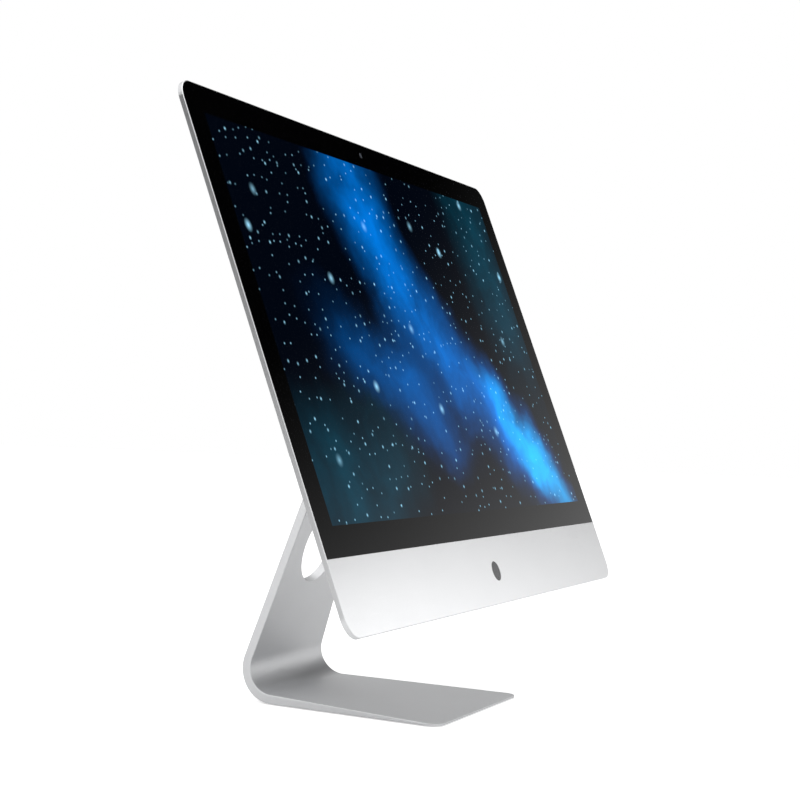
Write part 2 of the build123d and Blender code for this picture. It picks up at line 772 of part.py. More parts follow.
socket_wall = 1.0
socket_depth = 9.0
for label, centres, width, height, corner in port_positions():
    with BuildPart() as port:
        with BuildSketch(face_at(board_rear, 0, port_row_up)):
            for x in centres:
                with Locations((x, 0)):
                    RectangleRounded(width, height, corner)
        extrude(amount=-2 * bulge)
        add(flush_space, mode=Mode.INTERSECT)
        mouth = back_depth(centres[-1] + width / 2, port_row_up - height / 2)
        with BuildSketch(face_at(max(mouth - socket_depth, board_rear + socket_wall), 0, port_row_up)):
            for x in centres:
                with Locations((x, 0)):
                    RectangleRounded(width - 2 * socket_wall, height - 2 * min(socket_wall, height / 4),
                                     corner * 0.6)
                    if corner < height / 4 and height < socket_depth:
                        Rectangle(width * 0.6, height / 5, mode=Mode.SUBTRACT)
        extrude(amount=-2 * bulge, mode=Mode.SUBTRACT)
    save(port, label)


# ======================================================================
# Electronics
# ======================================================================
with BuildPart() as logic_board:
    with BuildSketch(face_at(board_depth, board_x, board_up)):
        RectangleRounded(board_width, board_height, 2)
    extrude(amount=-board_thickness)
    with Locations(face_at(board_depth, board_x, board_up)):
        with GridLocations(2 * board_boss_x, 2 * board_boss_up, 2, 2):
            Hole(screw_radius + running_clearance * 2, depth=board_thickness)
save(logic_board, "logic_board")


def screws(rows, length):
    """Pan-head screws standing on a plane, one at each spot of a rectangle."""
    plane, gap_x, gap_h = rows
    with BuildPart() as group:
        with BuildSketch(plane):
            with GridLocations(gap_x, gap_h, 2, 2):
                Circle(screw_head_radius)
        extrude(amount=screw_head_height)
        with BuildSketch(plane):
            with GridLocations(gap_x, gap_h, 2, 2):
                Circle(screw_radius)
        extrude(amount=-length)
    return group


board_screw_room = least_depth(board_x, board_up, board_boss_x, board_boss_up) - wall - board_depth
save(screws((face_at(board_depth, board_x, board_up), 2 * board_boss_x, 2 * board_boss_up),
            board_screw_room - hidden_gap),
     "board_screws")
save(screws((face_at(hinge_web_depth, 0, web_centre), 2 * hinge_screw_x, 2 * hinge_screw_rise),
            hinge_web_thickness + screw_length), "hinge_screws")

processor_x = board_x - board_width * 0.22
processor_up = board_up + board_height * 0.18
processor_size = 38.0
graphics_x = board_x + board_width * 0.12
chip_height = 2.0
with BuildPart() as processor:
    with BuildSketch(face_at(board_rear, processor_x, processor_up)):
        Rectangle(processor_size, processor_size)
    extrude(amount=-chip_height / 2)
    with BuildSketch(face_at(board_rear + chip_height / 2, processor_x, processor_up)):
        RectangleRounded(processor_size * 0.7, processor_size * 0.7, 2)
    extrude(amount=-chip_height / 2)
save(processor, "processor")

with BuildPart() as graphics_chip:
    with BuildSketch(face_at(board_rear, graphics_x, processor_up)):
        Rectangle(processor_size * 0.8, processor_size * 0.8)
    extrude(amount=-chip_height / 2)
    with BuildSketch(face_at(board_rear + chip_height / 2, graphics_x, processor_up)):
        Rectangle(processor_size * 0.4, processor_size * 0.4)
    extrude(amount=-chip_height / 2)
save(graphics_chip, "graphics_chip")

sink_depth = board_rear + chip_height
pipe_radius = 2.6
with BuildPart() as heatsink:
    with BuildSketch(face_at(sink_depth, (processor_x + graphics_x) / 2, processor_up)):
        RectangleRounded(graphics_x - processor_x + processor_size, processor_size, 3)
    extrude(amount=-chip_height)
save(heatsink, "heatsink")

fin_x = slot_half_width - boss_radius
with BuildPart() as heat_pipe:
    pipe_plane = face_at(sink_depth + chip_height + pipe_radius)
    pipe_turn = 12.0
    with BuildLine(pipe_plane):
        FilletPolyline((graphics_x, processor_up), (fin_x, processor_up), (fin_x, vent_up + vent_height),
                       radius=pipe_turn)
    with BuildSketch(Plane(origin=pipe_plane.from_local_coords((graphics_x, processor_up, 0)),
                           z_dir=(-1, 0, 0))):
        Circle(pipe_radius)
    sweep()
save(heat_pipe, "heat_pipe")

fin_pitch = 2.0
fin_count = 14
fin_thickness = 0.5
with BuildPart() as fin_stack:
    fin_up = vent_up + vent_height + fin_pitch * fin_count / 2
    with BuildSketch(face_at(sink_depth + chip_height, fin_x, fin_up)):
        with GridLocations(1, fin_pitch, 1, fin_count):
            Rectangle(4 * pipe_radius, fin_thickness)
        Rectangle(fin_thickness, fin_pitch * (fin_count - 1))
    extrude(amount=chip_height * 2)
save(fin_stack, "fin_stack")

fan_bore = impeller_radius + impeller_gap
outlet_height = impeller_radius
with BuildPart() as fan_housing:
    with BuildSketch(face_at(board_depth, fan_x, fan_up)):
        RectangleRounded(fan_size, fan_size, fan_size / 6)
    extrude(amount=-fan_thickness)
    with BuildSketch(face_at(board_depth + fan_wall, fan_x, fan_up)):
        Circle(fan_bore)
        with Locations((-fan_size / 4, -fan_bore + outlet_height / 2)):
            Rectangle(fan_size / 2 + 1, outlet_height)
    extrude(amount=-(fan_thickness - 2 * fan_wall), mode=Mode.SUBTRACT)
    with BuildSketch(face_at(board_rear + fan_wall, fan_x, fan_up)):
        Circle(fan_bore * 0.72)
    extrude(amount=-fan_thickness, mode=Mode.SUBTRACT)
    with BuildSketch(face_at(board_depth + fan_wall, fan_x, fan_up)):
        Circle(fan_axle_radius)
    extrude(amount=-(fan_thickness - 2 * fan_wall))
    with BuildSketch(face_at(board_depth, fan_x, fan_up)):
        with GridLocations(2 * fan_tab, fan_size * 0.6, 2, 2):
            Rectangle(2 * boss_radius + 1, 2 * boss_radius)
            Circle(screw_radius + running_clearance * 2, mode=Mode.SUBTRACT)
    extrude(amount=-board_thickness)
save(fan_housing, "fan_housing")

with BuildPart() as fan_impeller:
    rotor_depth = board_depth + fan_wall + impeller_gap
    with BuildSketch(face_at(rotor_depth, fan_x, fan_up)):
        Circle(impeller_radius)
    extrude(amount=-fan_wall)
    with BuildSketch(face_at(rotor_depth, fan_x, fan_up)):
        Circle(impeller_hub_radius)
    extrude(amount=-impeller_height)
    with BuildSketch(face_at(rotor_depth, fan_x, fan_up)):
        with PolarLocations((impeller_radius + impeller_hub_radius) / 2, impeller_blades):
            Rectangle(impeller_radius - impeller_hub_radius, fan_wall * 0.7, rotation=25)
    extrude(amount=-impeller_height)
    with BuildSketch(face_at(rotor_depth, fan_x, fan_up)):
        Circle(fan_axle_radius + running_clearance)
    extrude(amount=-impeller_height, mode=Mode.SUBTRACT)
save(fan_impeller, "fan_impeller")
save(screws((face_at(board_depth, fan_x, fan_up), 2 * fan_tab, fan_size * 0.6), screw_length), "fan_screws")

with BuildPart() as power_supply:
    with BuildSketch(face_at(board_depth, supply_x, supply_up)):
        RectangleRounded(supply_width, supply_length, 3)
    extrude(amount=-supply_thickness)
    with BuildSketch(face_at(board_rear, supply_x, supply_up)):
        Rectangle(8 * boss_radius + 2 * supply_tab, supply_length + 2 * supply_tab)
        with GridLocations(8 * boss_radius, 2 * supply_boss_up, 2, 2):
            Circle(screw_radius + running_clearance * 2, mode=Mode.SUBTRACT)
    extrude(amount=board_thickness)
save(power_supply, "power_supply")
save(screws((face_at(board_depth, supply_x, supply_up), 8 * boss_radius, 2 * supply_boss_up), screw_length),
     "supply_screws")

drive_clearance = 0.3
with BuildPart() as drive_bracket:
    outer_length = drive_length + 2 * (bracket_thickness + drive_clearance)
    with BuildSketch(face_at(board_depth, drive_x, drive_up)):
        Rectangle(drive_width, outer_length)
        Rectangle(drive_width + 1, drive_length + 2 * drive_clearance, mode=Mode.SUBTRACT)
    extrude(amount=-(drive_thickness + 2 * drive_clearance))
    with BuildSketch(face_at(board_rear, drive_x, drive_up)):
        with GridLocations(drive_width * 0.6, 2 * drive_tab, 2, 2):
            Rectangle(2 * boss_radius, 2 * boss_radius + bracket_thickness)
            Circle(screw_radius + running_clearance * 2, mode=Mode.SUBTRACT)
    extrude(amount=board_thickness)
    with BuildSketch(face_at(board_depth + drive_thickness + 2 * drive_clearance, drive_x, drive_up)):
        Rectangle(drive_width, outer_length)
        Rectangle(drive_width * 0.7, outer_length * 0.7, mode=Mode.SUBTRACT)
    extrude(amount=-bracket_thickness)
save(drive_bracket, "drive_bracket")

with BuildPart() as hard_drive:
    with BuildSketch(face_at(board_depth + drive_clearance, drive_x, drive_up)):
        RectangleRounded(drive_width, drive_length, 2)
    extrude(amount=-drive_thickness)
save(hard_drive, "hard_drive")
save(screws((face_at(board_depth, drive_x, drive_up), drive_width * 0.6, 2 * drive_tab), screw_length),
     "drive_screws")

stick_x = board_x + stick_offset
stick_up = board_up - stick_drop
with BuildPart() as solid_state_drive:
    with BuildSketch(face_at(board_rear, stick_x, stick_up)):
        Rectangle(stick_length, card_width)
    extrude(amount=-module_board)
    with BuildSketch(face_at(board_rear + module_board, stick_x, stick_up)):
        with GridLocations(stick_chip_pitch, 1, 3, 1):
            Rectangle(stick_chip_width, stick_chip_height)
    extrude(amount=-chip_thickness)
save(solid_state_drive, "solid_state_drive")

wireless_x = board_x + wireless_offset
wireless_up = board_up + wireless_rise
with BuildPart() as wireless_card:
    with BuildSketch(face_at(board_rear, wireless_x, wireless_up)):
        Rectangle(wireless_length, card_width)
    extrude(amount=-module_board)
    with BuildSketch(face_at(board_rear + module_board, wireless_x, wireless_up)):
        RectangleRounded(shield_length, shield_width, chip_thickness)
    extrude(amount=-chip_thickness)
save(wireless_card, "wireless_card")

with BuildPart() as clock_cell:
    with BuildSketch(face_at(board_rear, board_x - cell_offset, board_up - cell_drop)):
        Circle(cell_radius)
    extrude(amount=-cell_thickness)
    chamfer(clock_cell.edges().filter_by(GeomType.CIRCLE), edge_break)
save(clock_cell, "clock_cell")

antenna_depth = glass_recess + hidden_gap
with BuildPart() as antennas:
    with BuildSketch(face_at(antenna_depth, 0, camera_up)):
        with GridLocations(antenna_spacing, 1, 2, 1):
            RectangleRounded(antenna_length, antenna_height, 1)
    extrude(amount=-antenna_thickness)
save(antennas, "antennas")

with BuildPart() as microphone:
    with BuildSketch(face_at(ledge_depth, mic_x, opening_top - mic_height / 2)):
        Rectangle(mic_length, mic_height)
    extrude(amount=mic_thickness)
save(microphone, "microphone")

cage_inner_width = module_width + 2 * cage_play
cage_depth = least_depth(0, door_up, door_width / 2, door_height / 2) - wall - cage_play
cage_floor = cage_depth - 2 * module_pitch_depth - 3 * cage_play
with BuildPart() as memory_cage:
    with BuildSketch(face_at(cage_floor, 0, door_up)):
        RectangleRounded(cage_inner_width + 2 * cage_side, door_height + 2 * cage_end, cage_end)
    extrude(amount=-(cage_depth - cage_floor))
    with BuildSketch(face_at(cage_floor + cage_wall, 0, door_up)):
        Rectangle(cage_inner_width, door_height - cage_play)
    extrude(amount=-(cage_depth - cage_floor), mode=Mode.SUBTRACT)
save(memory_cage, "memory_cage")

with BuildPart() as memory_modules:
    for layer in (0, 1):
        layer_depth = cage_floor + cage_wall + cage_play + layer * module_pitch_depth
        with BuildSketch(face_at(layer_depth, 0, door_up)):
            with GridLocations(1, module_pitch_up, 1, 2):
                Rectangle(module_width, module_length)
        extrude(amount=-module_board)
        with BuildSketch(face_at(layer_depth + module_board, 0, door_up)):
            with GridLocations(module_chip_pitch, module_pitch_up, 4, 2):
                Rectangle(module_chip_width, module_length * 0.6)
        extrude(amount=-chip_thickness)
save(memory_modules, "memory_modules")

with BuildPart() as power_switch:
    switch_top = power_shoulder - button_flange_thickness - power_button_travel - button_play
    with BuildSketch(face_at(wall, power_button_x, power_button_up)):
        RectangleRounded(switch_size, switch_size, switch_size / 12)
    extrude(amount=-(switch_top - wall))
save(power_switch, "power_switch")

speaker_top = speaker_up + speaker_height
for side, name in ((-1, "left"), (1, "right")):
    far = speaker_x + speaker_width / 2
    with BuildPart() as speaker:
        with BuildSketch(side_at(side * speaker_x)):
            with BuildLine():
                Polyline((wall + hidden_gap, speaker_up),
                         (wall + hidden_gap, speaker_top),
                         (back_depth(far, speaker_top) - wall - 2 * hidden_gap, speaker_top),
                         (back_depth(far, speaker_up) - wall - hidden_gap, speaker_up), close=True)
            make_face()
        extrude(amount=speaker_width / 2, both=True)
        with BuildSketch(face_at(2 * wall, side * speaker_x, speaker_up + speaker_height * 0.6)):
            with GridLocations(speaker_driver_pitch, 1, 2, 1):
                Circle(speaker_driver_radius)
        extrude(amount=speaker_driver_depth, mode=Mode.SUBTRACT)
    save(speaker, f"speaker_{name}")
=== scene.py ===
"""All-in-one computer: finishes for every piece, a plain studio and a camera.

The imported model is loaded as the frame, so every size and place comes from it.
Head coordinates are across, up the screen and forward out of the screen.
"""
import json
from math import cos, radians

import bmesh
import bpy
from bpy.props import FloatProperty, FloatVectorProperty, PointerProperty
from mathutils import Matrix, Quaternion, Vector

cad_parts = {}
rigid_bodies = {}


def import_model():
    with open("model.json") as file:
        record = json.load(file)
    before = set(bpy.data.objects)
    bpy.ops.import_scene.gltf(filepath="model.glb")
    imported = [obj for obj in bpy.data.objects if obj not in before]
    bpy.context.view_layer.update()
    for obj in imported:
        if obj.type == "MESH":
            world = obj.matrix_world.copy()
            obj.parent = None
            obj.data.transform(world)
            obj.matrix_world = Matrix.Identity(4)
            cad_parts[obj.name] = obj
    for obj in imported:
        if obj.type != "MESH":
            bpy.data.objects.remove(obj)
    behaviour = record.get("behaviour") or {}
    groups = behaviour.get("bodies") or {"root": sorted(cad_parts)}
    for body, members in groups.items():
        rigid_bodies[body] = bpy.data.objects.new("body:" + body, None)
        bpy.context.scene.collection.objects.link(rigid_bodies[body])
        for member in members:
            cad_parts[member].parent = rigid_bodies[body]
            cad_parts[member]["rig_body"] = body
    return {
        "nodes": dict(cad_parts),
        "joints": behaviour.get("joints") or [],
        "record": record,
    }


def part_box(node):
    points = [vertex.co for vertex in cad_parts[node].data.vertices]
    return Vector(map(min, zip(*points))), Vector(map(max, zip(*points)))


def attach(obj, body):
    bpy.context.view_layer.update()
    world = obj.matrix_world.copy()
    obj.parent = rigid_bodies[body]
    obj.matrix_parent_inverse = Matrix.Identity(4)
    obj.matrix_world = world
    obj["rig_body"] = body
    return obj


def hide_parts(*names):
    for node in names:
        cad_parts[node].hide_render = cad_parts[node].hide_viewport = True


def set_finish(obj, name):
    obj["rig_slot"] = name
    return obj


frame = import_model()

bl_info = {
    "name": "All in one computer finishes",
    "version": (1, 0, 0),
    "blender": (4, 5, 0),
    "location": "3D View > Sidebar > Computer",
    "description": "Finishes the computer's pieces and sets up a studio for it",
    "category": "Object",
}

WELD = 1e-6
CORNER_STEPS = 2
MIX_FROM, MIX_TO, MIX_RESULT = 6, 7, 2
WINDOW_COLOUR = (0.09, 0.1, 0.12)
PICTURE_FADE = 0.0002
FRONT_FACE_DEPTH = 0.0006
BACKING_SHARE = 0.08
FLOOR_GLOW = 0.55
SENSOR_WIDTH = 36.0
WHITE = (1, 1, 1, 1)
# Each dim part of the surroundings: direction, degrees to its full dimness and to its rim, light left
DIM_PARTS = (
    ((0.78, -0.26, 0.57), 14.0, 34.0, 0.0),
    ((-0.88, 0.39, 0.27), 13.0, 27.0, 0.0),
    ((0.88, 0.42, 0.22), 12.0, 40.0, 0.5),
)
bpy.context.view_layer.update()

press = next(j for j in frame["joints"] if j["name"] == "power_button_press")
head_back = -Vector(press["axis"])
head_up = Vector((0, -head_back.z, head_back.y))
slot_colour = {m["slot"]: tuple(m["base_color"][:3]) for m in frame["record"]["materials"]}
slot_of = {s["node"]: s["material_slot"] for s in frame["record"]["subparts"]}
body_of = {n: b for b, names in frame["record"]["behaviour"]["bodies"].items() for n in names}


def along(node, direction):
    """Least and greatest distance of a CAD piece's points along a direction."""
    reach = [v.co.dot(direction) for v in frame["nodes"][node].data.vertices]
    return min(reach), max(reach)


# ----------------------------------------------------------------------
# Settings that a user would change
# ----------------------------------------------------------------------
def colour_setting(name, description, slot):
    return FloatVectorProperty(name=name, description=description, subtype="COLOR",
                               size=3, min=0, max=1, default=slot_colour[slot])


class ComputerFinishes(bpy.types.PropertyGroup):
    stand_colour: colour_setting("Stand", "Colour of the stand's aluminium", "stand_aluminium")
    housing_colour: colour_setting("Housing", "Colour of the housing's aluminium", "housing_aluminium")
    badge_colour: colour_setting("Badge", "Colour of the disc in the chin", "badge")
    stand_roughness: FloatProperty(name="Stand roughness", description="How dull the stand is",
                                   subtype="FACTOR", min=0, max=1, default=0.48)
    housing_roughness: FloatProperty(name="Housing roughness", description="How dull the housing is",
                                     subtype="FACTOR", min=0, max=1, default=0.32)
    grain_size: FloatProperty(name="Grain", description="Width of one grain of the blasted finish",
                              subtype="DISTANCE", unit="LENGTH", default=0.00035)
    glass_roughness: FloatProperty(name="Glass roughness", description="How dull the cover glass is",
                                   subtype="FACTOR", min=0, max=1, default=0.05)


class ComputerPicture(bpy.types.PropertyGroup):
    brightness: FloatProperty(name="Brightness", description="How bright the lit picture is",
                              min=0, default=1.0)
    border: FloatProperty(name="Tray edge", description="Width of the display tray round the picture",
                          subtype="DISTANCE", unit="LENGTH", default=0.007)
    night_colour: FloatVectorProperty(name="Night", description="Colour between the clouds",
                                      subtype="COLOR", size=3, default=(0.0, 0.0012, 0.0045))
    cloud_colour: FloatVectorProperty(name="Cloud", description="Colour of the wide clouds",
                                      subtype="COLOR", size=3, default=(0.0, 0.16, 0.62))
    streak_colour: FloatVectorProperty(name="Streak", description="Colour of the bright streak",
                                       subtype="COLOR", size=3, default=(0.0, 0.50, 0.95))
    haze_colour: FloatVectorProperty(name="Haze", description="Colour of the haze at the side",
                                     subtype="COLOR", size=3, default=(0.0, 0.045, 0.075))
    star_colour: FloatVectorProperty(name="Stars", description="Colour of the stars",
                                     subtype="COLOR", size=3, default=(0.35, 0.75, 1.0))


class ComputerStudio(bpy.types.PropertyGroup):
    camera_place: FloatVectorProperty(name="Camera place", description="Where the camera stands",
                                      subtype="XYZ", unit="LENGTH", size=3,
                                      default=(-1.45014, -0.62833, 0.25808))
    camera_azimuth: FloatProperty(name="Azimuth", description="Turn of the camera about the upright",
                                  subtype="ANGLE", unit="ROTATION", default=radians(-65.67))
    camera_elevation: FloatProperty(name="Elevation", description="How far the camera looks down",
                                    subtype="ANGLE", unit="ROTATION", default=radians(-2.14))
    camera_roll: FloatProperty(name="Roll", description="Turn of the camera about its own axis",
                               subtype="ANGLE", unit="ROTATION", default=radians(1.79))
    camera_lens: FloatProperty(name="Lens", description="Focal length in millimetres", default=77.48)
    shift_across: FloatProperty(name="Shift across", description="Share of the width", default=0.0297)
    shift_up: FloatProperty(name="Shift up", description="Share of the width", default=-0.0574)
    floor_colour: FloatVectorProperty(name="Floor", description="Colour of the floor",
                                      subtype="COLOR", size=3, default=(0.9, 0.9, 0.9))
    daylight: FloatProperty(name="Daylight", description="Strength of the light all round",
                            min=0, default=1.0)


# ----------------------------------------------------------------------
# Node helpers
# ----------------------------------------------------------------------
def add(tree, kind, inputs=None, **settings):
    """One node, with its settings, and its inputs set to values or joined to sockets."""
    node = tree.nodes.new(kind)
    for key, value in settings.items():
        setattr(node, key, value)
    for key, value in (inputs or {}).items():
        if isinstance(value, bpy.types.NodeSocket):
            tree.links.new(value, node.inputs[key])
        else:
            node.inputs[key].default_value = value
    return node


def shaded(name, **values):
    """A material with one shader, its even values set on the shader's own sockets."""
    material = bpy.data.materials.new(name)
    material.use_nodes = True
    tree = material.node_tree
    tree.nodes.clear()
    shader = add(tree, "ShaderNodeBsdfPrincipled")
    for key, value in values.items():
        shader.inputs[key.replace("_", " ")].default_value = value
    output = add(tree, "ShaderNodeOutputMaterial")
    tree.links.new(shader.outputs["BSDF"], output.inputs["Surface"])
    return material, tree, shader


def place_on(tree, scale=(1, 1, 1)):
    """Object coordinates, stretched by a scale for each axis."""
    where = add(tree, "ShaderNodeTexCoord")
    spread = add(tree, "ShaderNodeMapping", {"Vector": where.outputs["Object"], "Scale": scale})
    return spread.outputs["Vector"]


def noise(tree, where, scale, detail=2.0, roughness=0.5):
    texture = add(tree, "ShaderNodeTexNoise", {"Vector": where, "Scale": scale, "Detail": detail,
                                               "Roughness": roughness})
    return texture.outputs["Fac"]


def ranged(tree, value, low, high, start=0.3, end=0.7):
    """Turns a noise into a value between low and high."""
    ramp = add(tree, "ShaderNodeMapRange", {"Value": value, "From Min": start, "From Max": end,
                                            "To Min": low, "To Max": high})
    return ramp.outputs["Result"]


def varied(tree, colour, value, share):
    """A colour that a noise makes a little darker in places."""
    full = tuple(colour) + (1,)
    darker = tuple(c * (1 - share) for c in colour) + (1,)
    mix = add(tree, "ShaderNodeMix", {"Factor": value, MIX_FROM: darker, MIX_TO: full},
              data_type="RGBA")
    return mix.outputs[MIX_RESULT]


def rippled(tree, shader, height, strength, depth):
    bump = add(tree, "ShaderNodeBump", {"Height": height, "Strength": strength, "Distance": depth})
    tree.links.new(bump.outputs["Normal"], shader.inputs["Normal"])


# ----------------------------------------------------------------------
# Finishes
# ----------------------------------------------------------------------
def blasted_aluminium(name, colour, roughness, grain):
    """Bead-blasted, clear anodised aluminium: fine grain, faint rolling lines, slight clouding."""
    material, tree, shader = shaded(name, Metallic=1.0, IOR=1.5, Specular_IOR_Level=0.5)
    even = place_on(tree)
    rolled = place_on(tree, (0.02, 1, 1))
    fine = noise(tree, even, 1 / grain, 3.0)
    clouds = noise(tree, even, 9.0, 3.0)
    lines = noise(tree, rolled, 0.5 / grain, 2.0)
    tree.links.new(varied(tree, colour, ranged(tree, clouds, 0, 1), 0.03), shader.inputs["Base Color"])
    spread = add(tree, "ShaderNodeMath", {0: ranged(tree, fine, roughness - 0.04, roughness + 0.04),
                                          1: ranged(tree, lines, -0.02, 0.02)}, operation="ADD")
    tree.links.new(spread.outputs[0], shader.inputs["Roughness"])
    both = add(tree, "ShaderNodeMath", {0: fine, 1: lines}, operation="ADD")
    rippled(tree, shader, both.outputs[0], 0.25, grain * 0.06)
    return material


def plated_metal(name, colour, roughness, brushed=(1, 1, 1), scale=900.0):
    """Plated, turned or cast metal with fine tool lines."""
    material, tree, shader = shaded(name, Metallic=1.0)
    where = place_on(tree, brushed)
    lines = noise(tree, where, scale, 3.0)
    patches = noise(tree, place_on(tree), 60.0, 4.0)
    tree.links.new(varied(tree, colour, ranged(tree, patches, 0, 1), 0.12), shader.inputs["Base Color"])
    tree.links.new(ranged(tree, lines, roughness - 0.08, roughness + 0.08), shader.inputs["Roughness"])
    rippled(tree, shader, lines, 0.3, 0.00004)
    return material


def moulded(name, colour, roughness, grain=1600.0, depth=0.00005, sheen=0.0):
    """Moulded plastic or rubber with a fine spark-eroded texture."""
    material, tree, shader = shaded(name, Metallic=0.0, IOR=1.48, Sheen_Weight=sheen)
    where = place_on(tree)
    texture = noise(tree, where, grain, 2.0)
    patches = noise(tree, where, 25.0, 3.0)
    tree.links.new(varied(tree, colour, ranged(tree, patches, 0, 1), 0.15), shader.inputs["Base Color"])
    tree.links.new(ranged(tree, texture, roughness - 0.07, roughness + 0.07), shader.inputs["Roughness"])
    rippled(tree, shader, texture, 0.4, depth)
    return material


def printed_board(name, colour):
    """Solder mask over copper tracks: raised bands on a fine square grid."""
    material, tree, shader = shaded(name, Metallic=0.0, IOR=1.5, Coat_Weight=0.5, Coat_Roughness=0.15)
    where = place_on(tree)
    tracks = add(tree, "ShaderNodeTexBrick", {"Vector": place_on(tree, (1, 0, 1)), "Scale": 260.0,
                                              "Mortar Size": 0.06, "Color1": (0, 0, 0, 1),
                                              "Color2": (0.25, 0.25, 0.25, 1), "Mortar": (1, 1, 1, 1)})
    level = add(tree, "ShaderNodeSeparateColor", {"Color": tracks.outputs["Color"]})
    tree.links.new(varied(tree, colour, level.outputs[0], 0.5), shader.inputs["Base Color"])
    tree.links.new(ranged(tree, noise(tree, where, 400.0), 0.25, 0.4), shader.inputs["Roughness"])
    rippled(tree, shader, level.outputs[0], 0.5, 0.00005)
    return material


def turned_disc(name, colour, centre):
    """A polished disc with fine turning rings round its centre."""
    material, tree, shader = shaded(name, Metallic=1.0, Coat_Weight=0.3, Coat_Roughness=0.08)
    where = add(tree, "ShaderNodeTexCoord")
    middle = add(tree, "ShaderNodeMapping", {"Vector": where.outputs["Object"],
                                             "Location": tuple(-centre)})
    away = add(tree, "ShaderNodeVectorMath", {0: middle.outputs["Vector"]}, operation="LENGTH")
    rings = add(tree, "ShaderNodeMath", {0: away.outputs["Value"], 1: 12000.0}, operation="MULTIPLY")
    wave = add(tree, "ShaderNodeMath", {0: rings.outputs[0]}, operation="SINE")
    tree.links.new(varied(tree, colour, ranged(tree, noise(tree, place_on(tree), 300.0), 0, 1), 0.1),
                   shader.inputs["Base Color"])
    tree.links.new(ranged(tree, wave.outputs[0], 0.2, 0.28, -1, 1), shader.inputs["Roughness"])
    rippled(tree, shader, wave.outputs[0], 0.15, 0.00001)
    return material


def dark_window(name, colour):
    """A clear window with darkness behind it."""
    material, tree, shader = shaded(name, IOR=1.5, Coat_Weight=1.0, Coat_Roughness=0.02)
    specks = noise(tree, place_on(tree), 1500.0)
    tree.links.new(varied(tree, colour, ranged(tree, specks, 0, 1), 0.2), shader.inputs["Base Color"])
    tree.links.new(ranged(tree, specks, 0.06, 0.12), shader.inputs["Roughness"])
    return material


# ----------------------------------------------------------------------
# The lit picture, painted under the cover glass
# ----------------------------------------------------------------------
def screen_place(tree, middle):
    """Coordinates on the screen: across and up from the picture's middle."""
    where = add(tree, "ShaderNodeTexCoord")
    turn = head_back.angle(Vector((0, 0, -1)))
    flat = add(tree, "ShaderNodeMapping", {"Vector": where.outputs["Object"],
                                           "Rotation": (-turn, 0, 0), "Location": (0, -middle, 0)})
    return flat.outputs["Vector"]


def mathed(tree, operation, first, second=None):
    inputs = {0: first} if second is None else {0: first, 1: second}
    return add(tree, "ShaderNodeMath", inputs, operation=operation).outputs[0]


def cloud(tree, where, centre, size, turn, softness=1.0):
    """A soft long cloud: 1 in its middle, fading to 0 at its rim."""
    moved = add(tree, "ShaderNodeMapping", {"Vector": where, "Location": (centre[0], centre[1], 0),
                                            "Rotation": (0, 0, radians(turn)),
                                            "Scale": (size[0], size[1], 1)}, vector_type="TEXTURE")
    flat = add(tree, "ShaderNodeVectorMath", {0: moved.outputs["Vector"], 1: (1, 1, 0)},
               operation="MULTIPLY")
    away = add(tree, "ShaderNodeVectorMath", {0: flat.outputs["Vector"]}, operation="LENGTH")
    near = add(tree, "ShaderNodeMapRange", {"Value": away.outputs["Value"], "From Min": 1.0,
                                            "From Max": 0.0, "To Min": 0.0, "To Max": 1.0},
               interpolation_type="SMOOTHSTEP")
    return mathed(tree, "POWER", near.outputs["Result"], softness)


def summed(tree, total, amount, colour):
    """Adds a colour, in that amount, to the colours so far."""
    tint = add(tree, "ShaderNodeVectorMath", {0: tuple(colour), "Scale": amount}, operation="SCALE")
    both = add(tree, "ShaderNodeVectorMath", {0: total, 1: tint.outputs["Vector"]}, operation="ADD")
    return both.outputs["Vector"]


def stars(tree, where, scale, radius, kept, seed):
    """Small round stars of different brightness, one at most in each cell."""
    shifted = add(tree, "ShaderNodeMapping", {"Vector": where, "Location": (seed, seed * 2, seed * 3)})
    cells = add(tree, "ShaderNodeTexVoronoi", {"Vector": shifted.outputs["Vector"], "Scale": scale},
                voronoi_dimensions="2D")
    tone = add(tree, "ShaderNodeSeparateColor", {"Color": cells.outputs["Color"]})
    chosen = mathed(tree, "LESS_THAN", tone.outputs[0], kept)
    disc = add(tree, "ShaderNodeMapRange", {"Value": cells.outputs["Distance"],
                                            "From Min": radius * scale, "From Max": 0.0,
                                            "To Min": 0.0, "To Max": 1.0})
    glow = mathed(tree, "POWER", disc.outputs["Result"], 1.6)
    level = mathed(tree, "MULTIPLY_ADD", tone.outputs[1], 0.85)
    return mathed(tree, "MULTIPLY", mathed(tree, "MULTIPLY", glow, chosen), level)


def inside(tree, distance, half, edge):
    """1 within half of the middle, 0 outside, with a fine edge."""
    size = mathed(tree, "ABSOLUTE", distance)
    step = add(tree, "ShaderNodeMapRange", {"Value": size, "From Min": half + edge, "From Max": half,
                                            "To Min": 0.0, "To Max": 1.0})
    return step.outputs["Result"]


